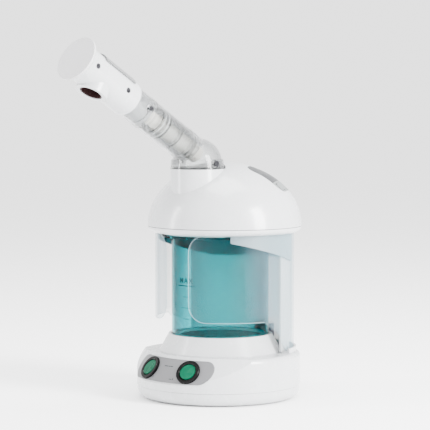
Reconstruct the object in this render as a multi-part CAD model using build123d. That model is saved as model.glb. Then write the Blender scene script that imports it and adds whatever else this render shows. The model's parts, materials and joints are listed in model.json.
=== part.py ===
"""Table-top facial steamer: a round heated base, a water tank in a clear shroud, a domed head and
a tilting, telescoping arm that carries a spinning steam nozzle.

Units are millimetres. The origin is the centre of the base on the table, the front is -Y and up is +Z.
Angles round the object are counted from the front towards +X.
"""
from build123d import *
import os
from math import asin, cos, radians, sin, sqrt, tan

os.makedirs("parts", exist_ok=True)

# ---------------------------------------------------------------- driving dimensions
# Base drum
base_r = 90.0                 # side wall
base_wall = 2.5
seam_z = 15.0                 # between the tray and the housing
shoulder_z = 51.0             # flat top of the drum
shoulder_round = 5.0
tray_foot_r = 78.0            # flat underside, inside the rounded edge
tray_z = 1.0                  # underside of the tray, above the feet
tray_floor = 3.0

# Gland at the back where the mains lead goes in
gland_z = 26.0
gland_flange_r = 7.0
gland_shank_r = 5.0
gland_bore = 3.3

# Control slope on the front of the drum
slope_bottom = (88.0, 23.0)   # radius, height
slope_lean = 33.5             # degrees back from vertical
slope_axis_y = 40.0           # the cone's axis is behind the drum's, so it runs out at the sides
slope_wall = 3.6
panel_length = 111.0          # seen from the front
panel_height = 23.5
panel_z = 36.25
panel_proud = 0.6
panel_thickness = 2.2

# Round rocker switches
switch_x = 28.8
switch_flange_r = 13.7
switch_body_r = 10.0
switch_depth = 20.0
rocker_r = 9.2
switch_pin_r = 0.7
rocker_rest = 6.0             # degrees either side of level

# Tank and the collar that holds it
tank_y = 2.5
tank_r = 53.6
tank_wall = 2.5
tank_bottom = 56.0
tank_top = 180.0
flange_r = 65.0
flange_thickness = 3.0
collar_gap = 0.5
collar_foot_r = 67.0
collar_top_r = 56.8
collar_top = 70.5
heater_r = 45.0
plate_z = 66.0                # face where the heater meets the tank's steel base
base_plate_thickness = 2.0
tank_seal_r = 46.0            # inside of the seal that clamps the base plate in the tank
tank_seal_height = 2.5

# Head: dome, shroud and leg share one axis
head_y = 9.5
dome_r = 85.0
dome_rise = 69.5
dome_z = 189.0
dome_wall = 2.5
grip_angle = 122.0            # round the head from the front, one grip each side
head_floor_z = 182.0
head_floor_thickness = 2.5
shroud_r = 76.5
shroud_wall = 2.2
wing_bottom = 88.0
wing_angle = 12.9             # front edges of the two wings
wing_corner = 19.0
leg_foot = 53.0
lip_top = 56.0
guard_r = 71.8
guard_wall = 1.4
guard_bottom = 92.7
skirt_r = 74.0
column_r = 71.6
column_angle = 103.0

# Boss on the dome, with the ball elbow in it
pivot = (0.0, -33.3, 258.6)
boss_r = 29.2
boss_wall = 1.2
boss_top = 252.3
notch_r = 31.0                # room behind the boss for the elbow to swivel
ball_r = 27.0
ball_wall = 1.8
ball_gap = 0.35
cup_wall = 0.95
cup_rim_z = 262.8
spigot_r = 19.8
spigot_bore = 18.0
bush_z = (229.0, 236.0)

# Arm, along its own axis: stations are counted from the ball's centre
arm_elevation = 30.5
arm_offset = 6.9              # the arm's axis passes above the ball's centre
tube_r = 17.2
tube_wall = 1.5
tube_start = 28.0
nozzle_start = 124.0
inner_tube = (20.0, 82.0)
inner_tube_r = 15.3
inner_tube_bore = 13.6
pipe_r = 9.5
pipe_bore = 8.0

# Nozzle
nozzle_r = 19.3
nozzle_wall = 2.0
flare_start = 195.0
flare_r = 24.8
nozzle_end = 208.4
cap_thickness = 2.4
neck_start = 100.0            # neck that turns inside the end of the outer tube
spout_station = 172.7
spout_r = 17.0
spout_bore = 12.4
spout_reach = 20.6
window = (136.0, 183.0)
window_half_angle = 52.0
nozzle_screw_stations = (143.7, 192.6)

running_gap = 0.06            # radial, between a shaft and its bearing


# ---------------------------------------------------------------- helpers
def spun(*lines, y=0.0):
    """Solid of revolution about an upright axis at y, from lines drawn in (radius, height)."""
    face = Plane.XZ * make_face([edge for line in lines for edge in line.edges()])
    return Pos(0, y, 0) * revolve(face, Axis.Z, 360)


def turned(*outline, y=0.0):
    """Solid of revolution from straight runs between (radius, height) corners."""
    return spun(Polyline(*outline, close=True), y=y)


def disc(radius, low, high, y=0.0, x=0.0):
    """Upright cylinder between two heights."""
    return Pos(x, y, (low + high) / 2) * Cylinder(radius, high - low)


def ring(outer, inner, low, high, y=0.0, x=0.0):
    """Upright tube between two heights."""
    return disc(outer, low, high, y, x) - disc(inner, low - 1, high + 1, y, x)


def block(size, centre):
    """Plain box by its size and centre."""
    return Pos(*centre) * Box(*size)


def around(radius, angle, y=0.0):
    """Point at an angle counted from the front towards +X."""
    return radius * sin(radians(angle)), y - radius * cos(radians(angle))


def sector(start, end, low, high, y=0.0, reach=150.0):
    """Upright wedge between two angles, under 180 degrees apart."""
    steps = 6
    angles = [start + (end - start) * i / steps for i in range(steps + 1)]
    points = [(0, y)] + [around(reach, angle, y) for angle in angles]
    return Pos(0, 0, low) * extrude(make_face(Polyline(*points, close=True)), high - low)


def on_arm(solid):
    """Move a solid drawn round the Z axis onto the arm's axis; its +Y becomes the arm's upper side."""
    tilt = radians(arm_elevation)
    origin = (0, pivot[1] + arm_offset * sin(tilt), pivot[2] + arm_offset * cos(tilt))
    frame = Plane(origin=origin, x_dir=(1, 0, 0), z_dir=(0, -cos(tilt), sin(tilt)))
    return frame.location * solid


def write(name, *solids):
    """Write one node: a single solid, or a group of separate ones."""
    shape = solids[0] if len(solids) == 1 else Compound(children=list(solids))
    export_step(shape, f"parts/{name}.step")


# ---------------------------------------------------------------- base
def slope_radius(z):
    """Radius of the control slope at a height."""
    return slope_bottom[0] - (z - slope_bottom[1]) * tan(radians(slope_lean))


def outside_slope(depth=0.0):
    """Everything in front of the control slope, moved in or out along its normal."""
    shift = slope_axis_y - depth / cos(radians(slope_lean))
    low, high = slope_bottom[1] - abs(depth), shoulder_z + 4
    far = 220.0
    return turned((slope_radius(low) + shift, low), (far, low), (far, high),
                  (slope_radius(high) + shift, high), y=slope_axis_y)


def panel_outline(grow=0.0):
    """Stadium-shaped prism that the control panel is cut from, looking from the front."""
    outline = SlotOverall(panel_length + 2 * grow, panel_height + 2 * grow)
    return Pos(0, 0, panel_z) * (Plane.XZ * extrude(outline, 120))


def switch_frame(x):
    """Place of a switch: origin on the panel's surface, Z outwards and X level."""
    lean = radians(slope_lean)
    radius = slope_radius(panel_z) + slope_axis_y + panel_proud / cos(lean)
    turn = asin(x / radius)
    origin = (x, slope_axis_y - radius * cos(turn), panel_z)
    outward = (sin(turn) * cos(lean), -cos(turn) * cos(lean), sin(lean))
    return Plane(origin=origin, x_dir=(cos(turn), sin(turn), 0), z_dir=outward).location


switch_sides = {"left": -switch_x, "right": switch_x}
seat_depth = 1.2              # spot face that each switch flange sits in
post_angles = (58, 125, 235, 302)
post_ring = 78.0
foot_angles = (30, 150, 210, 330)
foot_ring = 66.0


def base_tray():
    edge_top = (base_r - 0.6, tray_z + 10)
    edge = SagittaArc((tray_foot_r, tray_z), edge_top, -3.2)
    rest = Polyline(edge_top, (base_r - 0.4, seam_z - 0.3), (base_r - 3.2, seam_z - 0.3),
                    (base_r - 3.4, tray_z + 10.5), (tray_foot_r - 1, tray_z + tray_floor),
                    (0, tray_z + tray_floor), (0, tray_z), (tray_foot_r, tray_z))
    tray = spun(edge, rest)
    for angle in foot_angles:
        x, y = around(foot_ring, angle)
        tray -= disc(8.2, 0, tray_z + 1.5, y, x)
    for angle in post_angles:
        x, y = around(post_ring - 6, angle)
        tray -= disc(3.4, 0, tray_z + 1.5, y, x) + disc(1.8, 0, 8, y, x)
    for angle in range(-36, 37, 12):
        slot = Box(3, 26, 12)
        tray -= Rot(0, 0, angle) * (Pos(0, 30, 0) * slot)
    return tray


def base_housing():
    top_round = base_r - shoulder_round
    wall_top = (base_r, shoulder_z - shoulder_round)
    edge = RadiusArc(wall_top, (top_round, shoulder_z), -shoulder_round)
    rest = Polyline((top_round, shoulder_z), (0, shoulder_z), (0, seam_z), (base_r, seam_z), wall_top)
    drum = spun(edge, rest)
    collar = turned((0, 45), (collar_foot_r, 45), (collar_foot_r, shoulder_z + 1),
                    (collar_top_r, collar_top), (0, collar_top), y=tank_y)
    lift = ring(79.3, 69.0, shoulder_z - 6, leg_foot, head_y)
    lip = ring(79.3, shroud_r + 0.4, shoulder_z - 6, lip_top, head_y)
    back = sector(107, 180, 40, 60, head_y) + sector(180, 253, 40, 60, head_y)
    housing = drum - outside_slope() + collar + ((lift + lip) & back)
    inner = base_r - base_wall
    cavity = turned((0, 10), (inner, 10), (inner, shoulder_z - shoulder_round),
                    (top_round, shoulder_z - base_wall), (0, shoulder_z - base_wall))
    cavity -= outside_slope(slope_wall)
    cavity += disc(collar_foot_r - 12, 40, tank_bottom - 2.5, tank_y)
    housing -= cavity
    housing -= disc(tank_r + collar_gap, tank_bottom, 80, tank_y)
    housing -= disc(heater_r + 0.6, 40, 60, tank_y)
    for angle in post_angles:
        x, y = around(post_ring - 6, angle)
        housing += disc(4.5, tray_z + tray_floor, shoulder_z - 1, y, x) - disc(1.5, 0, 20, y, x)
    housing -= outside_slope(panel_thickness - panel_proud) & panel_outline(0.2)
    for x in switch_sides.values():
        frame = switch_frame(x)
        housing -= frame * Cylinder(switch_body_r + 0.15, 60)
        housing -= frame * disc(switch_flange_r + 0.15, -seat_depth, 10)
    housing -= Pos(0, base_r + 8.5, gland_z) * (Rot(90, 0, 0) * Cylinder(gland_flange_r + 0.2, 20))
    housing -= Pos(0, base_r - 5, gland_z) * (Rot(90, 0, 0) * Cylinder(gland_shank_r + 0.1, 20))
    return housing


def control_panel():
    under = outside_slope(panel_thickness - panel_proud)
    over = outside_slope(-panel_proud)
    panel = (under & panel_outline()) - over
    for x in switch_sides.values():
        frame = switch_frame(x)
        panel -= frame * (Pos(0, 0, 10 - seat_depth) * Cylinder(switch_flange_r + 0.15, 20))
        panel -= frame * Cylinder(switch_body_r + 0.15, 30)
    return panel


def switch_parts(x):
    """Housing, rocker and terminals of one round rocker switch."""
    frame = switch_frame(x)
    axis_z = -2.0
    shell = ring(switch_flange_r, switch_body_r - 0.3, -seat_depth, 2.2)
    shell = chamfer(shell.edges().group_by(Axis.Z)[-1], 0.7)
    shell += ring(switch_body_r, 9.3, -9, -seat_depth + 0.01)
    shell += disc(switch_body_r, -switch_depth, -9)
    pin_bore = Pos(0, 0, axis_z) * (Rot(0, 90, 0) * Cylinder(switch_pin_r + running_gap, 30))
    shell -= pin_bore & disc(switch_body_r + 1, -5, -seat_depth)
    lens = disc(rocker_r, -0.1, 1.9)
    lens = fillet(lens.edges().group_by(Axis.Z)[-1], 0.7)
    rocker = lens + disc(8.6, -4.6, 0)
    rocker += Pos(0, 0, axis_z) * (Rot(0, 90, 0) * Cylinder(switch_pin_r, 2 * 9.8))
    rocker = Pos(0, 0, axis_z) * (Rot(-rocker_rest, 0, 0) * (Pos(0, 0, -axis_z) * rocker))
    blades = [frame * block((4.8, 0.8, 8), (0, dy, -switch_depth - 4)) for dy in (-6, 0, 6)]
    return frame * shell, frame * rocker, blades


write("base_tray", base_tray())
housing = base_housing()
above_shoulder = disc(collar_foot_r + 1, shoulder_z, collar_top + 1, tank_y)
write("base_housing", housing - above_shoulder)
write("tank_collar", housing & above_shoulder)
write("control_panel", control_panel())
for side, switch_place in switch_sides.items():
    shell, rocker, blades = switch_parts(switch_place)
    write(f"switch_housing_{side}", shell)
    write(f"switch_rocker_{side}", rocker)
    write(f"switch_terminals_{side}", *blades)

foot_points = [around(foot_ring, angle) for angle in foot_angles]
write("rubber_feet", *[disc(8.0, 0, tray_z + 1.5, y, x) for x, y in foot_points])


def screw(head_r, head_h, shank_r, length):
    """Pan-head screw, its head's underside at z 0, driven along +Z, with a cross-slot in the head."""
    body = disc(head_r, -head_h, 0) + disc(shank_r, 0, length)
    for turn in (0, 90):
        body -= Rot(0, 0, turn) * block((head_r * 1.3, 0.7, 1.0), (0, 0, -head_h))
    return body


post_points = [around(post_ring - 6, angle) for angle in post_angles]
tray_screw = screw(3.1, 1.3, 1.5, 14)
write("tray_screws", *[Pos(x, y, tray_z + 1.5) * tray_screw for x, y in post_points])

# Heating and electrical parts inside the base
heater_foot = 49.0
element_r, element_bore = 32.7, 25.3
heater = disc(heater_r, heater_foot, plate_z, tank_y)
heater += disc(heater_r + 5, heater_foot, tank_bottom - 2.5, tank_y)
heater -= ring(element_r + 0.3, element_bore - 0.3, heater_foot - 1, 52, tank_y)
write("heater_plate", heater)
write("heating_element", ring(element_r, element_bore, 45.5, 51.8, tank_y))
write("thermostat", disc(8, 41, heater_foot, tank_y) + block((24, 8, 1), (0, tank_y, heater_foot - 0.5)))
fuse_r, fuse_length = 2.2, 26.0
write("thermal_fuse", Pos(0, tank_y + 18, 46.5) * (Rot(0, 90, 0) * Cylinder(fuse_r, fuse_length)))
board_y = 25.0
board = block((70, 44, 1.6), (0, board_y, 13))
board_posts = [(x, board_y + dy) for x in (-30, 30) for dy in (-17, 17)]
for x, y in board_posts:
    board -= disc(1.6, 5, 20, y, x)
write("control_board", board)
standoffs = [ring(3.2, 1.6, tray_z + tray_floor, 12.2, y, x) for x, y in board_posts]
write("board_standoffs", *standoffs)
transformer = block((22, 18, 16), (-16, board_y, 21.8))
relay = block((15, 12, 12), (14, board_y, 19.8))
write("relay_and_transformer", transformer, relay)
write("terminal_block", block((26, 12, 11), (0, 62, tray_z + tray_floor + 5.5)))
gland = ring(gland_flange_r, gland_bore, -0.75, 0.75) + ring(gland_shank_r, gland_bore, 0.7, 6.5)
write("cord_gland", Pos(0, base_r - 0.75, gland_z) * (Rot(90, 0, 0) * gland))
write("base_connector", block((26, 6, 6), (0, 74, shoulder_z + 3)))

# ---------------------------------------------------------------- tank
tank_bore = tank_r - tank_wall
base_plate_top = plate_z + base_plate_thickness
write("tank_shell", ring(tank_r, tank_bore, tank_bottom, tank_top, tank_y))
write("tank_rim", ring(flange_r, tank_r, tank_top - flange_thickness, tank_top, tank_y))
write("tank_seal", ring(tank_bore, tank_seal_r, base_plate_top, base_plate_top + tank_seal_height, tank_y))
write("tank_base_plate", disc(tank_bore - 0.05, plate_z, base_plate_top, tank_y))

# ---------------------------------------------------------------- head
duct_r = 16.8
duct_bore = 15.0
head_post_ring = 66.0
head_post_angles = (50, 150, 210, 310)
post_top = 226.0              # inside the wall of the dome above the posts


quarter = 4 / 3 * (sqrt(2) - 1)   # handle length of a Bezier quarter ellipse


def half_ellipsoid(radius, rise):
    """Solid under the dome's surface, above the seam."""
    arc = Bezier((radius, 0), (radius, quarter * rise), (quarter * radius, rise), (0, rise))
    return Pos(0, 0, dome_z) * spun(arc, Polyline((0, rise), (0, 0), (radius, 0)), y=head_y)


grip_start = (27.0, 253.5)    # radius from the dome's axis, height
grip_end = (70.0, 226.0)
grip_size = (44.0, 50.0)
grip_run = sqrt((grip_end[0] - grip_start[0]) ** 2 + (grip_end[1] - grip_start[1]) ** 2)
grip_fall = (grip_start[1] - grip_end[1]) / grip_run
grip_reach = (grip_end[0] - grip_start[0]) / grip_run
latch_y = 17.0                # along the grip, down the slope
latch_size = (30.0, 10.0)


def grip_frame(angle):
    """Place of a grip's floor: Z out of the dome and Y down its slope, at an angle round the head."""
    x, y = around((grip_start[0] + grip_end[0]) / 2, angle, head_y)
    out_x, out_y = around(1, angle)
    origin = (x, y, (grip_start[1] + grip_end[1]) / 2)
    normal = (out_x * grip_fall, out_y * grip_fall, grip_reach)
    return Plane(origin=origin, x_dir=(out_y, -out_x, 0), z_dir=normal).location


def grip_block(width, length, low, high, corner):
    """Rounded block standing on a grip's floor, in the grip's own frame."""
    return Pos(0, 0, low) * extrude(RectangleRounded(width, length, corner), high - low)


def latch_block(grow, low, high):
    """Block of the latch button's outline, in the grip's own frame."""
    outline = RectangleRounded(latch_size[0] + grow, latch_size[1] + grow, 3)
    return Pos(0, latch_y, low) * extrude(outline, high - low)


def dome_shell():
    outer = half_ellipsoid(dome_r, dome_rise)
    outer += disc(boss_r, dome_z, boss_top, pivot[1])
    inner = half_ellipsoid(dome_r - dome_wall, dome_rise - dome_wall)
    inner += disc(boss_r - boss_wall, dome_z - 1, boss_top + 1, pivot[1])
    shell = outer - inner
    skin = half_ellipsoid(dome_r - 0.3, dome_rise - 0.3)
    for place in grip_places.values():
        shell += (place * grip_block(grip_size[0] + 4, grip_size[1] + 4, -2, 14, 14)) & skin
        shell -= place * grip_block(*grip_size, 0, 30, 12)
        shell -= place * latch_block(0.8, -5, 5)
    shell += disc(notch_r + 1.5, boss_top - 2.8, 262, pivot[1]) & skin
    shell -= disc(notch_r, boss_top, 270, pivot[1])
    shell -= disc(boss_r - boss_wall, dome_z, boss_top + 1, pivot[1])
    for angle in head_post_angles:
        x, y = around(head_post_ring, angle, head_y)
        shell += disc(4, head_floor_z + head_floor_thickness, post_top, y, x)
        shell -= disc(1.5, 180, 200, y, x)
    return shell


grip_places = {"left": grip_frame(-grip_angle), "right": grip_frame(grip_angle)}
write("dome_shell", dome_shell())
floor_r = 78.5
floor_top = head_floor_z + head_floor_thickness
ring_outline = [(dome_r - 0.3, dome_z - 0.4), (dome_r - 0.6, dome_z - 3), (dome_r - 2.4, dome_z - 5),
                (floor_r + 0.1, head_floor_z), (floor_r + 0.1, floor_top),
                (dome_r - 3.5, dome_z - 2.2), (dome_r - dome_wall, dome_z - 0.4)]
write("dome_ring", turned(*ring_outline, y=head_y))

floor = disc(floor_r, head_floor_z, floor_top, head_y)
floor -= disc(duct_bore, 170, 190, pivot[1])
for angle in head_post_angles:
    x, y = around(head_post_ring, angle, head_y)
    floor -= disc(3.2, 180, head_floor_z + 1.5, y, x) + disc(1.6, 180, 190, y, x)
write("head_floor", floor)
head_points = [around(head_post_ring, angle, head_y) for angle in head_post_angles]
head_screw = screw(3.0, 1.3, 1.5, 13)
write("head_screws", *[Pos(x, y, head_floor_z + 1.5) * head_screw for x, y in head_points])
write("tank_gasket", ring(62, 52, tank_top, head_floor_z, tank_y))


def shroud():
    """Clear sheet round the tank: two front wings, and a leg behind that stands on the base."""
    sheet = ring(shroud_r, shroud_r - shroud_wall, leg_foot, head_floor_z, head_y)
    half_gap = shroud_r * sin(radians(wing_angle))
    mid_z = (wing_bottom + head_floor_z) / 2
    corner_box = RectangleRounded(2 * 73.0, head_floor_z - wing_bottom, wing_corner)
    side_x = half_gap + 73.0
    keep = [Pos(turn * side_x, 0, mid_z) * (Plane.XZ * extrude(corner_box, 200)) for turn in (-1, 1)]
    rear = block((200, 200, 100), (0, 99, head_floor_z - 47))
    leg = Plane.YZ * extrude(leg_outline(), 120, both=True)
    wings = sheet & (keep[0] + keep[1] + rear)
    return (wings - block((200, 220, 60), (0, 0, wing_bottom - 30))) + (sheet & leg)


def leg_outline():
    """Side view of the shroud's leg: a smooth curve from the wing's lower edge to the foot."""
    def side(angle, z):
        return head_y - shroud_r * cos(radians(angle)), z
    edge = [side(79, wing_bottom), side(90, 78), side(96, 71.6), side(100, 62.5), side(109, leg_foot)]
    curve = Spline(*edge)
    close = Polyline(edge[-1], (120, leg_foot), (120, wing_bottom), edge[0])
    return make_face([curve.edge(), *close.edges()])


write("shroud", shroud())
for side, turn in (("left", -1), ("right", 1)):
    span = sorted((turn * 62.7, turn * 97.0))
    guard = ring(guard_r, guard_r - guard_wall, guard_bottom, head_floor_z, head_y)
    write(f"inner_guard_{side}", guard & sector(*span, 80, 190, head_y))

skirt_front = 49.0
skirt = ring(skirt_r, guard_r + 0.1, 150, head_floor_z, head_y)
skirt -= sector(-skirt_front, skirt_front, 140, 190, head_y)
skirt_tilt = Plane(origin=(0, head_y - 47, 173.5), x_dir=(1, 0, 0), z_dir=(0, 15.5, 59)).location
skirt -= skirt_tilt * (Pos(0, 60, -30) * Box(200, 260, 60))
write("head_skirt", skirt)

column = ring(column_r, column_r - 2, leg_foot, head_floor_z, head_y)
write("back_column", (column & sector(column_angle, 180, 50, 190, head_y))
      + (column & sector(180, 360 - column_angle, 50, 190, head_y)))
write("head_connector", block((24, 6, 18), (0, 74.5, 66.5)))
write("lamp_wires", *[disc(0.9, 75.5, head_floor_z, 75, x) for x in (-4, 4)])
duct = ring(duct_r, duct_bore, floor_top, 224, pivot[1])
duct_foot = ring(duct_r + 5, duct_bore, floor_top, 187, pivot[1])
write("steam_duct", duct + duct_foot)
write("ozone_lamp", Pos(0, 10, 196) * (Rot(0, 90, 0) * Cylinder(5, 50)))
write("lamp_holders", *[block((5, 16, 18), (x, 10, 193.5)) for x in (-27.6, 27.6)])
write("lamp_ballast", block((40, 24, 12), (0, 44, 190.5)))

inlay = grip_block(grip_size[0] - 0.6, grip_size[1] - 0.6, 0, 1.2, 11.7) - latch_block(0.8, -1, 3)
latch = latch_block(0, -7, 2.2) + latch_block(3, -4.6, -2.6)
for side, place in grip_places.items():
    write(f"grip_inlay_{side}", place * inlay)
    write(f"latch_button_{side}", place * latch)

# ---------------------------------------------------------------- elbow
write("swivel_bush", ring(boss_r - boss_wall, spigot_r + running_gap, *bush_z, pivot[1]))


def swivel_cup():
    """Clear cup that the ball tilts in: a rim on the boss, a bowl below and a spigot in the bush."""
    centre = Pos(*pivot)
    rim = turned((15, boss_top + 0.2), (29.5, boss_top + 0.2), (29.5, boss_top + 1.4), (28.9, boss_top + 1.8),
                 (28.4, cup_rim_z), (15, cup_rim_z), y=pivot[1])
    bowl = centre * Sphere(ball_r + ball_gap + cup_wall)
    bowl &= disc(40, 200, boss_top + 0.3, pivot[1])
    cup = rim + bowl + disc(spigot_r, bush_z[0] - 3, 245, pivot[1])
    cup -= disc(40, 200, bush_z[0] - 3, pivot[1])
    cup -= centre * Sphere(ball_r + ball_gap)
    cup -= disc(ball_r + ball_gap, pivot[2], 280, pivot[1])
    cup -= disc(spigot_bore, 200, pivot[2], pivot[1])
    cup -= disc(40, 200, bush_z[1] + 1.5, pivot[1]) - disc(spigot_r, 190, 260, pivot[1])
    return cup - centre * (Rot(0, 90, 0) * Cylinder(2.0, 80))


write("swivel_cup", swivel_cup())
write("swivel_clip", ring(spigot_r + 2, spigot_r, bush_z[0] - 2.4, bush_z[0] - 0.4, pivot[1]))
pivot_screw = screw(3.3, 1.2, 2.0, 5.5)
write("pivot_screws", *[Pos(*pivot) * (Rot(0, 0, turn) * (Pos(28.9, 0, 0) * (Rot(0, -90, 0) * pivot_screw)))
                        for turn in (0, 180)])


# ---------------------------------------------------------------- arm
def elbow_ball():
    """Hollow clear ball with the arm's socket; its open underside stays over the spigot when it tilts."""
    centre = Pos(*pivot)
    socket_end = tube_start - 0.4
    ball = centre * Sphere(ball_r) + on_arm(disc(tube_r, 0, socket_end))
    hollow = centre * Sphere(ball_r - ball_wall) + on_arm(disc(inner_tube_bore, 0, inner_tube[0] + 1))
    hollow += on_arm(disc(inner_tube_r, inner_tube[0], socket_end + 1))
    ball -= hollow
    for x in (-1, 1):
        ball += Pos(*pivot) * (Pos(x * 24.2, 0, 0) * (Rot(0, 90, 0) * Cylinder(4.5, 3.6)))
    ball &= centre * Sphere(ball_r) + on_arm(disc(tube_r, 0, socket_end))
    ball -= centre * (Rot(0, 90, 0) * Cylinder(2.0 + running_gap, 80))
    mouth = radians(-104)
    mouth_frame = Plane(origin=pivot, x_dir=(1, 0, 0), z_dir=(0, -cos(mouth), sin(mouth))).location
    return ball - mouth_frame * (Pos(0, 0, 10.7 + 30) * Cylinder(60, 60))


write("elbow_ball", elbow_ball())
tube = ring(inner_tube_r, inner_tube_bore, *inner_tube)
seal_stations = (72.0, 78.0)
for station in seal_stations:
    tube -= ring(inner_tube_r + 1, inner_tube_r - 0.8, station, station + 1.6)
write("inner_tube", on_arm(tube))
seals = [ring(inner_tube_r + 0.1, inner_tube_r - 0.8, s + 0.05, s + 1.55) for s in seal_stations]
write("tube_seals", *[on_arm(seal) for seal in seals])
write("steam_pipe", on_arm(ring(pipe_r, pipe_bore, 6, 76)))
write("pipe_spacers", *[on_arm(ring(inner_tube_bore, pipe_r, s, s + 2.5)) for s in (24, 48, 68)])

# ---------------------------------------------------------------- telescoping tube
boss_station = 106.0
side_boss = Pos(17.6, 0, boss_station) * (Rot(0, 90, 0) * Cylinder(4.2, 3.4))
sleeve = ring(tube_r, tube_r - tube_wall, tube_start, nozzle_start - 0.3)
for station in (tube_start, tube_start + 6, 94, 99):
    sleeve += ring(tube_r + 0.5, tube_r - 0.5, station, station + 1.6)
sleeve += side_boss
sleeve -= disc(tube_r - tube_wall, 0, 140)
sleeve -= Pos(17, 0, boss_station) * (Rot(0, 90, 0) * Cylinder(1.2, 12))
write("outer_tube", on_arm(sleeve))
lock_screw = Pos(19.3, 0, boss_station) * (Rot(0, -90, 0) * screw(2.6, 1.0, 1.2, 4.4))
write("tube_lock_screw", on_arm(lock_screw))


# ---------------------------------------------------------------- nozzle
def nozzle_shell():
    """Whole nozzle casing before it is parted into its two halves."""
    bore = nozzle_r - nozzle_wall
    neck_r = tube_r - tube_wall - 0.08
    outer = turned((0, neck_start), (neck_r, neck_start), (neck_r, nozzle_start), (18.5, nozzle_start),
                   (nozzle_r, nozzle_start + 3), (nozzle_r, flare_start), (21.4, flare_start + 7),
                   (flare_r, nozzle_end - cap_thickness), (0, nozzle_end - cap_thickness))
    spout = Pos(0, -spout_reach / 2, spout_station) * (Rot(90, 0, 0) * Cylinder(spout_r, spout_reach))
    shell = outer + spout
    shell -= disc(13.8, 90, nozzle_start + 3)
    shell -= disc(bore, nozzle_start + 2.4, nozzle_end)
    shell -= Pos(0, -20, spout_station) * (Rot(90, 0, 0) * Cylinder(spout_bore, 40))
    for station in nozzle_screw_stations:
        post = Pos(0, 0, station) * (Rot(0, 90, 0) * Cylinder(3.4, 36))
        shell += post & disc(bore + 1, 120, 206)
    shell -= ring(neck_r + 1, neck_r - 1, boss_station - 1.6, boss_station + 1.6)
    for station in nozzle_screw_stations:
        shell -= Pos(3, 0, station) * (Rot(0, 90, 0) * Cylinder(1.3, 32))
        shell -= Pos(nozzle_r + 1.5, 0, station) * (Rot(0, 90, 0) * Cylinder(3.0, 6))
    return shell


casing = nozzle_shell()
for side, turn in (("left", -1), ("right", 1)):
    write(f"nozzle_shell_{side}", on_arm(casing & block((60, 120, 240), (turn * 30, 0, 120))))
write("nozzle_cap", on_arm(disc(flare_r, nozzle_end - cap_thickness, nozzle_end)
                           + ring(nozzle_r - nozzle_wall - 0.1, 15.2, 202, nozzle_end - cap_thickness + 0.1)))
above = Rot(0, 0, 180) * sector(-window_half_angle, window_half_angle, 0, 300)
write("nozzle_window", on_arm(ring(nozzle_r + 1.8, nozzle_r, *window) & above))
nozzle_screw = screw(2.8, 1.2, 1.3, 26)
write("nozzle_screws", *[on_arm(Pos(nozzle_r - 1.5, 0, s) * (Rot(0, -90, 0) * nozzle_screw))
                         for s in nozzle_screw_stations])
liner = Rot(90, 0, 0) * (ring(spout_bore, spout_bore - 1.4, 9, spout_reach - 0.6) + disc(spout_bore, 9, 10.5)
                         - disc(8.5, 0, 12))
write("outlet_liner", on_arm(Pos(0, 0, spout_station) * liner))
nozzle_pipe_r = 7.7
pipe = ring(nozzle_pipe_r, 6.3, 36, 138)
pipe_plate = ring(nozzle_r - nozzle_wall - 0.1, nozzle_pipe_r, nozzle_start + 2.5, nozzle_start + 4.5)
write("nozzle_pipe", on_arm(pipe + pipe_plate))
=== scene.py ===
"""Facial steamer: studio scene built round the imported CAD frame. Lengths are in metres."""
import bpy
import bmesh
import json
import math
from mathutils import Matrix, Vector


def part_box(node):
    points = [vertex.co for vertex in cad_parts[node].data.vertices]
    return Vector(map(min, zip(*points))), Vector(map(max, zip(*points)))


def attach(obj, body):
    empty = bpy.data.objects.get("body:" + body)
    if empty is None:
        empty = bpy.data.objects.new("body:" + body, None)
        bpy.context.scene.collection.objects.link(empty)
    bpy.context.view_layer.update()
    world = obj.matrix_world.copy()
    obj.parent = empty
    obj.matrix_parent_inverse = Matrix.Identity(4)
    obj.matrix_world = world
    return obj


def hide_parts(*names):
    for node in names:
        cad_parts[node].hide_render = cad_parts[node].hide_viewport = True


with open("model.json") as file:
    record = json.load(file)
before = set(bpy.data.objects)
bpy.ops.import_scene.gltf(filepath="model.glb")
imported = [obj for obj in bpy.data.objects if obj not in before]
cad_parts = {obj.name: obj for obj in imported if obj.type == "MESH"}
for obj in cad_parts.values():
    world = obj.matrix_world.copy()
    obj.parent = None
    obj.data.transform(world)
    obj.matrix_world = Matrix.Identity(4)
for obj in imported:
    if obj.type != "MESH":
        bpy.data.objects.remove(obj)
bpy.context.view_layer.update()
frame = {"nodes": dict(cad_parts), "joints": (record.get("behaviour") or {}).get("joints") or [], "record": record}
nodes = frame["nodes"]

MM = 0.001


# ---------------------------------------------------------------- places worked out from the frame
def joint(name):
    """The frame's joint of that name."""
    return next(j for j in frame["joints"] if j["name"] == name)


def middle(node):
    """Centre of a CAD node's box."""
    low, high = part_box(node)
    return (low + high) / 2


head_axis = middle("dome_ring")
tank_axis = middle("tank_base_plate")


# ---------------------------------------------------------------- materials
def new_material(name):
    """New material with its node tree and shader."""
    mat = bpy.data.materials.new(name)
    mat.use_nodes = True
    return mat, mat.node_tree, mat.node_tree.nodes["Principled BSDF"]


def add(tree, kind, **values):
    """New node with some of its settings or inputs filled in."""
    node = tree.nodes.new(kind)
    for key, value in values.items():
        if hasattr(node, key):
            setattr(node, key, value)
        else:
            node.inputs[key].default_value = value
    return node


NOISE_LOW, NOISE_HIGH = 0.3, 0.7      # span that the noise mostly keeps to


def noise(tree, scale, detail=3.0, stretch=(1, 1, 1)):
    """Noise in the object's own space, in cycles per metre."""
    coords = add(tree, "ShaderNodeTexCoord")
    mapping = add(tree, "ShaderNodeMapping", Scale=stretch)
    texture = add(tree, "ShaderNodeTexNoise", Scale=scale, Detail=detail, Roughness=0.55)
    tree.links.new(coords.outputs["Object"], mapping.inputs["Vector"])
    tree.links.new(mapping.outputs["Vector"], texture.inputs["Vector"])
    return texture.outputs["Fac"]


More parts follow.
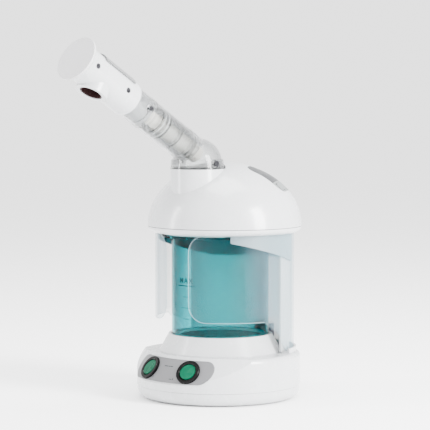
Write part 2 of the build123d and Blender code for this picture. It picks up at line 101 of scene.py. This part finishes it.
def remap(tree, source, low, high):
    """Turn noise into values between low and high."""
    node = add(tree, "ShaderNodeMapRange")
    tree.links.new(source, node.inputs["Value"])
    node.inputs["From Min"].default_value = NOISE_LOW
    node.inputs["From Max"].default_value = NOISE_HIGH
    node.inputs["To Min"].default_value = low
    node.inputs["To Max"].default_value = high
    return node.outputs["Result"]


def two_tone(tree, source, dark, light):
    """Colour that wanders between two close tones."""
    ramp = add(tree, "ShaderNodeValToRGB")
    ramp.color_ramp.elements[0].position = 0.35
    ramp.color_ramp.elements[1].position = 0.65
    ramp.color_ramp.elements[0].color = (*dark, 1)
    ramp.color_ramp.elements[1].color = (*light, 1)
    tree.links.new(source, ramp.inputs["Fac"])
    return ramp.outputs["Color"]


def bump(tree, bsdf, source, distance, strength=0.3):
    """Fine relief from a 0 to 1 pattern, its full height given in metres."""
    node = add(tree, "ShaderNodeBump", Strength=strength, Distance=distance)
    tree.links.new(source, node.inputs["Height"])
    tree.links.new(node.outputs["Normal"], bsdf.inputs["Normal"])


def shade(colour, factor):
    """Lighter or darker tone of a colour."""
    return tuple(min(1.0, c * factor) for c in colour)


def plastic(name, colour, rough=(0.2, 0.3), coat=0.0, grain=1400.0, grain_depth=0.00002, spread=0.02,
            level=0.5):
    """Moulded plastic: slight tone drift, uneven polish and a fine moulded grain."""
    mat, tree, bsdf = new_material(name)
    drift = noise(tree, 22.0)
    tone = two_tone(tree, drift, shade(colour, 1 - spread), shade(colour, 1 + spread))
    tree.links.new(tone, bsdf.inputs["Base Color"])
    tree.links.new(remap(tree, noise(tree, 90.0), *rough), bsdf.inputs["Roughness"])
    bump(tree, bsdf, noise(tree, grain), grain_depth)
    bsdf.inputs["Coat Weight"].default_value = coat
    bsdf.inputs["Coat Roughness"].default_value = 0.06
    bsdf.inputs["Specular IOR Level"].default_value = level
    return mat


def glassy(name, colour, edge=None, rough=(0.02, 0.05), ior=1.45, wave=0.00002, through=1.0, coat=0.0):
    """Clear moulded plastic: faintly wavy and unevenly polished, with a tint that deepens edge-on."""
    mat, tree, bsdf = new_material(name)
    drift = noise(tree, 30.0)
    tone = two_tone(tree, drift, shade(colour, 0.97), shade(colour, 1.02))
    if edge:
        deep = two_tone(tree, drift, shade(edge, 0.95), shade(edge, 1.05))
        mix = add(tree, "ShaderNodeMix", data_type="RGBA")
        turn = add(tree, "ShaderNodeLayerWeight", Blend=0.5)
        tree.links.new(turn.outputs["Facing"], mix.inputs["Factor"])
        tree.links.new(tone, mix.inputs["A"])
        tree.links.new(deep, mix.inputs["B"])
        tone = mix.outputs["Result"]
    tree.links.new(tone, bsdf.inputs["Base Color"])
    tree.links.new(remap(tree, noise(tree, 160.0), *rough), bsdf.inputs["Roughness"])
    bump(tree, bsdf, noise(tree, 120.0), wave, 0.2)
    bsdf.inputs["Transmission Weight"].default_value = through
    bsdf.inputs["IOR"].default_value = ior
    bsdf.inputs["Coat Weight"].default_value = coat
    bsdf.inputs["Coat Roughness"].default_value = 0.08
    return mat


def veil(name, colour, face, edge, rough=(0.25, 0.4), coat=0.3, blend=0.35):
    """Frosted sheet: a thin milky veil that thickens where the sheet turns away."""
    mat, tree, bsdf = new_material(name)
    drift = noise(tree, 14.0, stretch=(1, 1, 0.4))
    tone = two_tone(tree, drift, shade(colour, 0.985), shade(colour, 1.01))
    tree.links.new(tone, bsdf.inputs["Base Color"])
    tree.links.new(remap(tree, noise(tree, 200.0), *rough), bsdf.inputs["Roughness"])
    bump(tree, bsdf, noise(tree, 900.0), 0.00002, 0.15)
    turn = add(tree, "ShaderNodeLayerWeight", Blend=blend)
    tree.links.new(remap_full(tree, turn.outputs["Facing"], face, edge), bsdf.inputs["Alpha"])
    bsdf.inputs["Coat Weight"].default_value = coat
    bsdf.inputs["Coat Roughness"].default_value = 0.15
    return mat


def remap_full(tree, source, low, high):
    """Stretch the whole 0 to 1 range of a value between low and high."""
    node = add(tree, "ShaderNodeMapRange")
    node.inputs["To Min"].default_value = low
    node.inputs["To Max"].default_value = high
    tree.links.new(source, node.inputs["Value"])
    return node.outputs["Result"]


def metal(name, colour, rough=(0.25, 0.4), brush=(1, 1, 1)):
    """Metal with a drawn or brushed finish along the axis that isn't stretched."""
    mat, tree, bsdf = new_material(name)
    lines = noise(tree, 600.0, 2.0, stretch=brush)
    tone = two_tone(tree, lines, shade(colour, 0.85), shade(colour, 1.1))
    tree.links.new(tone, bsdf.inputs["Base Color"])
    tree.links.new(remap(tree, lines, *rough), bsdf.inputs["Roughness"])
    bump(tree, bsdf, lines, 0.00003)
    bsdf.inputs["Metallic"].default_value = 1.0
    return mat


def rubber(name, colour):
    """Matt rubber with a coarse moulded grain."""
    return plastic(name, colour, rough=(0.6, 0.8), grain=2500.0, grain_depth=0.00006, spread=0.1)


looks = {
    "white_gloss": plastic("white_gloss", (0.45, 0.46, 0.47), rough=(0.22, 0.3), coat=0.25),
    "white_cap": plastic("white_cap", (0.46, 0.455, 0.465), rough=(0.35, 0.45), level=0.3),
    # Darker, bluish copy of the white plastic: painted shade, used on the skirt under the dome.
    "white_painted_shade": plastic("white_painted_shade", (0.15, 0.195, 0.215), rough=(0.4, 0.5), level=0.3),
    "panel_grey": plastic("panel_grey", (0.11, 0.11, 0.115), rough=(0.3, 0.42), level=0.3),
    "black_gloss": plastic("black_gloss", (0.002, 0.002, 0.002), rough=(0.18, 0.3), level=0.1),
    "lens_green": plastic("lens_green", (0.0005, 0.06, 0.03), rough=(0.2, 0.3), coat=0.0,
                          spread=0.25, level=0.06),
    "brass": metal("brass", (0.75, 0.62, 0.38)),
    "rubber_dark": rubber("rubber_dark", (0.03, 0.03, 0.03)),
    "silicone": rubber("silicone", (0.55, 0.57, 0.57)),
    "steel": metal("steel", (0.05, 0.05, 0.055), brush=(1, 1, 6)),
    "stainless": metal("stainless", (0.008, 0.012, 0.015), rough=(0.3, 0.45), brush=(8, 1, 1)),
    "cast_aluminium": metal("cast_aluminium", (0.5, 0.5, 0.51), rough=(0.5, 0.7)),
    "element": metal("element", (0.12, 0.11, 0.11), rough=(0.5, 0.7)),
    "bakelite": plastic("bakelite", (0.06, 0.03, 0.02), rough=(0.3, 0.5)),
    "fuse": plastic("fuse", (0.7, 0.68, 0.62), rough=(0.5, 0.7)),
    "circuit_board": plastic("circuit_board", (0.02, 0.16, 0.06), rough=(0.3, 0.5)),
    "component": plastic("component", (0.04, 0.04, 0.06), rough=(0.35, 0.55)),
    "tank_teal": glassy("tank_teal", (0.0, 0.63, 0.66), (0.0, 0.02, 0.045), ior=1.1, wave=0.00001,
                        coat=0.12),
    "shroud_frost": veil("shroud_frost", (0.17, 0.27, 0.32), 0.003, 0.46, coat=0.05),
    "guard_tint": veil("guard_tint", (0.12, 0.36, 0.48), 0.01, 0.16, coat=0.03),
    "column_milk": veil("column_milk", (0.45, 0.475, 0.485), 0.45, 0.85, coat=0.05),
    "clear": glassy("clear", (0.93, 0.94, 0.94), (0.35, 0.36, 0.37), rough=(0.10, 0.18), ior=1.25,
                    coat=0.3),
    "pipe_cream": plastic("pipe_cream", (0.72, 0.70, 0.64), rough=(0.4, 0.6)),
    "grip_grey": plastic("grip_grey", (0.035, 0.037, 0.04), rough=(0.3, 0.45), grain=800.0,
                         grain_depth=0.00006, level=0.3),
    "latch_grey": plastic("latch_grey", (0.15, 0.16, 0.16), rough=(0.3, 0.4), level=0.3),
    "lamp_glass": glassy("lamp_glass", (0.85, 0.88, 0.95)),
    "window_smoke": glassy("window_smoke", (0.24, 0.245, 0.25), rough=(0.1, 0.16), through=0.5),
    "outlet_brown": plastic("outlet_brown", (0.02, 0.008, 0.008), rough=(0.3, 0.45), level=0.2),
    "wire": plastic("wire", (0.35, 0.03, 0.02), rough=(0.4, 0.5)),
    "print_dark": plastic("print_dark", (0.002, 0.008, 0.01), rough=(0.5, 0.6), spread=0.1, level=0.05),
    # Pale glossy colour for the beads on the wings' free edges: a painted highlight for the bright line along each
    # edge.
    "edge_painted_highlight": plastic("edge_painted_highlight", (0.30, 0.42, 0.45), rough=(0.15, 0.25), coat=0.3),
    # Near-black colour for the ring in the dome's seam: painted shade for the shadow in the gap.
    "seam_painted_shade": plastic("seam_painted_shade", (0.05, 0.05, 0.055), rough=(0.5, 0.6), level=0.2),
}


def finish_in(obj, slot):
    """Give an object its slot's material, and nothing else."""
    obj.data.materials.clear()
    obj.data.materials.append(looks[slot])


slot_of = {part["node"]: part["material_slot"] for part in frame["record"]["subparts"]}
# The skirt under the dome takes a darker, bluish copy of the white plastic as painted shade for the dome's
# underside; the back column takes a milky frosted veil.
look_of = {"head_skirt": "white_painted_shade", "back_column": "column_milk"}
SMOOTH = math.radians(32)
for node_name, node in nodes.items():
    finish_in(node, look_of.get(node_name, slot_of[node_name]))
    node.data.shade_smooth()
    node.data.set_sharp_from_angle(angle=SMOOTH)


# ---------------------------------------------------------------- detail pieces
def join_to(obj, body, slot, look=None):
    """Link a finished mesh, give it its material, and let it ride on a body."""
    bpy.context.scene.collection.objects.link(obj)
    obj.data.materials.clear()
    obj.data.materials.append(looks[look or slot])
    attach(obj, body)
    return obj


def mesh_of(curve_object):
    """Mesh copy of a curve or text object, which is then removed."""
    bpy.context.scene.collection.objects.link(curve_object)
    bpy.context.view_layer.update()
    shown = curve_object.evaluated_get(bpy.context.evaluated_depsgraph_get())
    mesh = bpy.data.meshes.new_from_object(shown)
    bpy.data.objects.remove(curve_object)
    return mesh


def lettering(name, text, size, place, body, slot, look, spacing):
    """Printed characters, laid on a curved surface by a function of their flat position."""
    font = bpy.data.curves.new(name, "FONT")
    font.body = text
    font.size = size
    font.space_character = spacing
    font.align_x = "CENTER"
    font.extrude = PRINT_DEPTH
    font.offset = BOLDNESS
    font.resolution_u = 6
    mesh = mesh_of(bpy.data.objects.new(name, font))
    bm = bmesh.new()
    bm.from_mesh(mesh)
    bmesh.ops.subdivide_edges(bm, edges=[e for e in bm.edges if e.calc_length() > size * 0.3], cuts=3)
    for v in bm.verts:
        v.co = place(v.co)
    bm.to_mesh(mesh)
    bm.free()
    return join_to(bpy.data.objects.new(name, mesh), body, slot, look)


def strip(name, width, height, place, body, slot, look, steps=12):
    """Thin printed bar, laid on a curved surface by a function of its flat position."""
    bm = bmesh.new()
    rows = []
    for z in (-PRINT_DEPTH, PRINT_DEPTH):
        for y in (-height / 2, height / 2):
            rows.append([bm.verts.new((width * (i / steps - 0.5), y, z)) for i in range(steps + 1)])
    low_front, low_back, high_front, high_back = rows
    around = (low_front, high_front, high_back, low_back, low_front)
    for a, b in zip(around, around[1:]):
        for i in range(steps):
            bm.faces.new((a[i], a[i + 1], b[i + 1], b[i]))
    for i in (0, steps):
        bm.faces.new((low_front[i], high_front[i], high_back[i], low_back[i]))
    bmesh.ops.recalc_face_normals(bm, faces=bm.faces)
    for v in bm.verts:
        v.co = place(v.co)
    mesh = bpy.data.meshes.new(name)
    bm.to_mesh(mesh)
    bm.free()
    return join_to(bpy.data.objects.new(name, mesh), body, slot, look)


def bead(name, points, radius, body, slot, look):
    """Fine rounded line through a list of points."""
    curve = bpy.data.curves.new(name, "CURVE")
    curve.dimensions = "3D"
    curve.bevel_depth = radius
    curve.bevel_resolution = 3
    curve.use_fill_caps = True
    run = curve.splines.new("POLY")
    run.points.add(len(points) - 1)
    for knot, point in zip(run.points, points):
        knot.co = (*point, 1)
    mesh = mesh_of(bpy.data.objects.new(name, curve))
    mesh.shade_smooth()
    return join_to(bpy.data.objects.new(name, mesh), body, slot, look)


def lathe(name, outline, frame_matrix, body, slot, look=None, segments=96):
    """Closed solid of revolution from (radius, station) corners, moved into place by a matrix."""
    bm = bmesh.new()
    rings = []
    for i in range(segments):
        turn = 2 * math.pi * i / segments
        spots = [Vector((r * math.cos(turn), r * math.sin(turn), station)) for r, station in outline]
        rings.append([bm.verts.new(frame_matrix @ spot) for spot in spots])
    count = len(outline)
    for i in range(segments):
        a, b = rings[i], rings[(i + 1) % segments]
        for k in range(count):
            n = (k + 1) % count
            bm.faces.new((a[k], b[k], b[n], a[n]))
    bmesh.ops.recalc_face_normals(bm, faces=bm.faces)
    mesh = bpy.data.meshes.new(name)
    bm.to_mesh(mesh)
    bm.free()
    mesh.shade_smooth()
    mesh.set_sharp_from_angle(angle=SMOOTH)
    return join_to(bpy.data.objects.new(name, mesh), body, slot, look)


PRINT_DEPTH = 0.03 * MM               # ink, half its thickness
PRINT_GAP = 0.05 * MM                 # between ink and tank, so that they don't meet
TANK_LOW, TANK_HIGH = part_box("tank_shell")
TANK_R = (TANK_HIGH.x - TANK_LOW.x) / 2
BOLDNESS = 0.2 * MM
LEVEL_DROP = 54.5 * MM                # from the tank's mouth
LEVEL_STEP = 12 * MM
WATER_LINE = TANK_HIGH.z - LEVEL_DROP


def on_tank(height):
    """Flat positions wrapped round the outside of the tank, centred on its front."""
    def place(co):
        turn = co.x / TANK_R
        radius = TANK_R + PRINT_GAP + co.z
        return Vector((radius * math.sin(turn), tank_axis.y - radius * math.cos(turn), height + co.y))
    return place


PANEL_LEAN = math.radians(33.5)
PANEL_FOOT = (88 * MM, 23 * MM)       # reach in front of the base's axis, height
PANEL_AXIS_Y = 40 * MM                # the cone's own axis
PANEL_PROUD = 0.65 * MM


def on_panel(x, z):
    """Flat positions laid on the conical face of the control panel."""
    def place(co):
        level = z + co.y * math.cos(PANEL_LEAN)
        reach = PANEL_FOOT[0] - (level - PANEL_FOOT[1]) * math.tan(PANEL_LEAN)
        radius = reach + PANEL_AXIS_Y + PANEL_PROUD / math.cos(PANEL_LEAN)
        across = x + co.x
        front = PANEL_AXIS_Y - math.sqrt(radius * radius - across * across)
        return Vector((across, front - co.z, level))
    return place


lettering("level_word", "MAX", 7.8 * MM, on_tank(WATER_LINE + 3.2 * MM), "tank", "tank_teal",
          "print_dark", spacing=1.35)
strip("level_line", 26 * MM, 0.95 * MM, on_tank(WATER_LINE), "tank", "tank_teal", "print_dark", 24)
for step, wide in ((1, 9), (2, 14), (3, 9)):
    mark = on_tank(WATER_LINE - step * LEVEL_STEP)
    strip(f"level_tick_{step}", wide * MM, 0.4 * MM, mark, "tank", "tank_teal", "print_dark")

CAPTION_Z = 40.6 * MM                 # dashes between the switches
BAR_Z, TICK_Z = 28.2 * MM, 28.6 * MM  # marks under each switch
TICK_OFFSET = 3.2                     # from its bar, in millimetres
for x, wide in ((-3.5, 5), (1.0, 2.2), (4.6, 3.4)):
    name = f"panel_dash_{round(10 * (x + 9))}"
    strip(name, wide * MM, 0.7 * MM, on_panel(x * MM, CAPTION_Z), "base", "panel_grey", "print_dark")
for side, x in (("left", -20.5), ("right", 10.0)):
    bar, tick = on_panel(x * MM, BAR_Z), on_panel((x + TICK_OFFSET) * MM, TICK_Z)
    strip(f"panel_bar_{side}", 3.6 * MM, 0.6 * MM, bar, "base", "panel_grey", "print_dark")
    strip(f"panel_tick_{side}", 0.8 * MM, 2.0 * MM, tick, "base", "panel_grey", "print_dark", 2)


SHEET_LOW, SHEET_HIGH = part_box("shroud")
SHEET_R = (SHEET_HIGH.x - SHEET_LOW.x) / 2 - 1.1 * MM     # middle of the sheet
SHEET_TOP = SHEET_HIGH.z
WING_EDGE = 76.5 * MM * math.sin(math.radians(12.9))
WING_LOW = 88 * MM
CORNER = 19 * MM
CORNER_STEPS = 16
SIDE_STEPS = 8
FOOT_START, FOOT_END = 28.1, 79.0     # degrees round from the front
EDGE_R = 0.2 * MM


def corner_turns(first):
    """Angles round a quarter turn, from the given step to its end."""
    return [math.radians(90 * i / CORNER_STEPS) for i in range(first, CORNER_STEPS + 1)]


def sheet_edge(side):
    """The free edge of one wing, in the middle of the sheet."""
    flat = []
    for turn in corner_turns(0):
        drop = CORNER * (1 - math.cos(turn))
        flat.append((WING_EDGE + CORNER * (1 - math.sin(turn)), SHEET_TOP - drop))
    for i in range(SIDE_STEPS + 1):
        run = (WING_LOW - SHEET_TOP + 2 * CORNER) * i / SIDE_STEPS
        flat.append((WING_EDGE, SHEET_TOP - CORNER + run))
    for turn in corner_turns(1):
        rise = CORNER * (1 - math.sin(turn))
        flat.append((WING_EDGE + CORNER * (1 - math.cos(turn)), WING_LOW + rise))
    for i in range(1, CORNER_STEPS + 1):
        turn = math.radians(FOOT_START + (FOOT_END - FOOT_START) * i / CORNER_STEPS)
        flat.append((SHEET_R * math.sin(turn), WING_LOW))
    return [Vector((side * x, head_axis.y - math.sqrt(max(0, SHEET_R ** 2 - x * x)), z)) for x, z in flat]


# Each wing's free edge gets a pale glossy bead: a painted highlight for the bright line of light along the sheet's
# edge.
for side, sign in (("left", -1), ("right", 1)):
    bead(f"sheet_edge_{side}", sheet_edge(sign), EDGE_R, "head", "shroud_frost", "edge_painted_highlight")


# ---------------------------------------------------------------- grips that carry the dome's curve
DOME_R = 85 * MM
DOME_RISE = 69.5 * MM
DOME_FOOT = 189 * MM
GRIP_MIDDLE = (48.5 * MM, 239.75 * MM)    # radius from the dome's axis, height
GRIP_WIDE, GRIP_LONG, GRIP_CORNER = 43.4 * MM, 49.4 * MM, 11.7 * MM
GRIP_SPLIT = 9.0 * MM                     # down the slope, where the pale part starts
BUTTON_GAP = 0.4 * MM
BUTTON_V, BUTTON_WIDE, BUTTON_LONG, BUTTON_CORNER = 17 * MM, 30 * MM, 10 * MM, 3 * MM


def grip_place(side):
    """Middle of a grip's floor, with its across, down-slope and outward directions."""
    outward = -Vector(joint(f"latch_{side}_press")["axis"]).normalized()
    level = Vector((outward.x, outward.y, 0)).normalized()
    down = level * outward.z - Vector((0, 0, 1)) * math.hypot(outward.x, outward.y)
    origin = Vector((0, head_axis.y, GRIP_MIDDLE[1])) + level * GRIP_MIDDLE[0]
    return origin, down.cross(outward), down, outward


def to_dome(point, outward, depth):
    """Distance from a point, going outward, to the dome's curve at some depth below its skin."""
    scale = Vector((1 / (DOME_R - depth), 1 / (DOME_R - depth), 1 / (DOME_RISE - depth)))
    start = (point - Vector((0, head_axis.y, DOME_FOOT))) * scale
    step = outward * scale
    half = start.dot(step)
    size = step.dot(step)
    return (-half + math.sqrt(half * half - size * (start.dot(start) - 1))) / size


def half_width(v, middle_v, wide, long, corner):
    """Half the width of a rounded rectangle at a station along it."""
    past = abs(v - middle_v) - (long / 2 - corner)
    if past <= 0:
        return wide / 2
    return wide / 2 - corner + math.sqrt(max(0, corner * corner - past * past))


def add_patch(bm, place, span, left, right, floor, depth, across=14, along=12):
    """Closed block from a floor level up to the dome's curve, between two edges along its span."""
    origin, side_way, down, outward = place
    sheets = []
    for top in (False, True):
        sheet = []
        for j in range(along + 1):
            v = span[0] + (span[1] - span[0]) * j / along
            row = []
            for i in range(across + 1):
                u = left(v) + (right(v) - left(v)) * i / across
                foot = origin + side_way * u + down * v
                height = to_dome(foot, outward, depth) if top else floor
                row.append(bm.verts.new(foot + outward * height))
            sheet.append(row)
        sheets.append(sheet)
        for j in range(along):
            for i in range(across):
                bm.faces.new((sheet[j][i], sheet[j][i + 1], sheet[j + 1][i + 1], sheet[j + 1][i]))
    low, high = sheets
    for row in (0, along):
        for i in range(across):
            bm.faces.new((low[row][i], low[row][i + 1], high[row][i + 1], high[row][i]))
    for column in (0, across):
        for j in range(along):
            bm.faces.new((low[j][column], low[j + 1][column], high[j + 1][column], high[j][column]))


def patch_piece(name, place, patches, body, slot, look, stands_for=None):
    """Piece made of one or more dome-following blocks, which may stand for a CAD node."""
    bm = bmesh.new()
    for patch in patches:
        add_patch(bm, place, **patch)
    bmesh.ops.recalc_face_normals(bm, faces=bm.faces)
    mesh = bpy.data.meshes.new(name)
    bm.to_mesh(mesh)
    bm.free()
    mesh.shade_smooth()
    mesh.set_sharp_from_angle(angle=SMOOTH)
    piece = join_to(bpy.data.objects.new(name, mesh), body, slot, look)
    if stands_for:
        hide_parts(stands_for)
    return piece


def grip_edge(v):
    """Half the width of a grip at a station down its slope."""
    return half_width(v, 0, GRIP_WIDE, GRIP_LONG, GRIP_CORNER)


def button_edge(v):
    """Half the width of a latch button at a station down the slope."""
    return half_width(v, BUTTON_V, BUTTON_WIDE, BUTTON_LONG, BUTTON_CORNER)


for side in ("left", "right"):
    place = grip_place(side)
    whole = {"left": lambda v: -grip_edge(v), "right": grip_edge, "floor": 0.05 * MM, "depth": 0.7 * MM}
    pad = {"span": (-GRIP_LONG / 2, GRIP_SPLIT), "along": 30, **whole}
    patch_piece(f"grip_pad_{side}", place, [pad], "head", "grip_grey", "grip_grey", f"grip_inlay_{side}")
    hole = BUTTON_WIDE / 2 + BUTTON_GAP
    near = BUTTON_V - BUTTON_LONG / 2 - BUTTON_GAP
    far = BUTTON_V + BUTTON_LONG / 2 + BUTTON_GAP
    surround = [
        {"span": (GRIP_SPLIT + 0.3 * MM, near), "along": 4, **whole},
        {"span": (far, GRIP_LONG / 2), "along": 10, **whole},
        {**whole, "span": (near, far), "right": lambda v: -hole, "across": 4},
        {**whole, "span": (near, far), "left": lambda v: hole, "across": 4},
    ]
    patch_piece(f"grip_surround_{side}", place, surround, "head", "grip_grey", "latch_grey")
    button = {"span": (BUTTON_V - BUTTON_LONG / 2, BUTTON_V + BUTTON_LONG / 2), "along": 24,
              "left": lambda v: -button_edge(v), "right": button_edge, "floor": -5 * MM, "depth": 0.35 * MM}
    patch_piece(f"latch_cap_{side}", place, [button], f"latch_{side}", "latch_grey", "latch_grey",
                f"latch_button_{side}")


# Dark ring just inside the gap between the dome and its ring: painted shade that stands for the shadow in the
# seam, though its slot is the white plastic.
seam = [(83.4, -0.7), (84.7, -0.7), (84.8, -0.1), (83.4, -0.1)]    # radius, height above the dome's foot
lathe("dome_seam_shadow", [(r * MM, station * MM) for r, station in seam],
      Matrix.Translation((0, head_axis.y, DOME_FOOT)), "head", "white_gloss", "seam_painted_shade")


# ---------------------------------------------------------------- studio
def lamp(name, place, aim, size, power):
    """Soft rectangular light that looks at a point."""
    data = bpy.data.lights.new(name, "AREA")
    data.shape = "RECTANGLE"
    data.size, data.size_y = size
    data.energy = power
    light = bpy.data.objects.new(name, data)
    light.location = place
    light.rotation_euler = (Vector(aim) - Vector(place)).to_track_quat("-Z", "Y").to_euler()
    bpy.context.scene.collection.objects.link(light)


def polar(azimuth, distance, height):
    """Point round the object; azimuth 0 is in front of it and 90 on its +X side."""
    turn = math.radians(azimuth)
    return Vector((distance * math.sin(turn), -distance * math.cos(turn), height))


def make_camera():
    """Long lens from the object's front right, a little above it."""
    azimuth, distance, height = 44.0, 2.25, 0.340
    aim_height, aim_left = 0.200, 0.0106
    turn = math.radians(azimuth)
    right = Vector((math.cos(turn), math.sin(turn), 0))
    data = bpy.data.cameras.new("camera")
    data.sensor_width = 36.0
    data.lens = 171.0
    data.clip_start, data.clip_end = 0.1, 50.0
    camera = bpy.data.objects.new("camera", data)
    centre = Vector((0, head_axis.y, 0))
    camera.location = centre + polar(azimuth, distance, height)
    aim = centre - right * aim_left + Vector((0, 0, aim_height))
    camera.rotation_euler = (aim - camera.location).to_track_quat("-Z", "Y").to_euler()
    bpy.context.scene.collection.objects.link(camera)
    bpy.context.scene.camera = camera


def make_room():
    """Pale floor that runs out to the horizon, under an even pale sky."""
    mesh = bpy.data.meshes.new("floor")
    reach = 30.0
    corners = [(-reach, -reach, 0), (reach, -reach, 0), (reach, reach, 0), (-reach, reach, 0)]
    mesh.from_pydata(corners, [], [(0, 1, 2, 3)])
    floor = bpy.data.objects.new("floor", mesh)
    bpy.context.scene.collection.objects.link(floor)
    mat, tree, bsdf = new_material("floor")
    bsdf.inputs["Base Color"].default_value = (1, 1, 1, 1)
    bsdf.inputs["Roughness"].default_value = 1.0
    bsdf.inputs["Specular IOR Level"].default_value = 0.0
    mesh.materials.append(mat)
    world = bpy.data.worlds.new("sky")
    bpy.context.scene.world = world
    world.use_nodes = True
    world.node_tree.nodes["Background"].inputs["Color"].default_value = (1, 1, 1, 1)
    world.node_tree.nodes["Background"].inputs["Strength"].default_value = 2.6


make_camera()
make_room()
object_middle = (0, 0, 0.2)
lamp("key", polar(98, 1.7, 0.75), object_middle, (0.55, 1.3), 170)
lamp("left_strip", polar(-38, 1.6, 0.6), object_middle, (0.22, 1.1), 26)
lamp("top", (0, 0, 1.8), object_middle, (1.0, 1.0), 45)
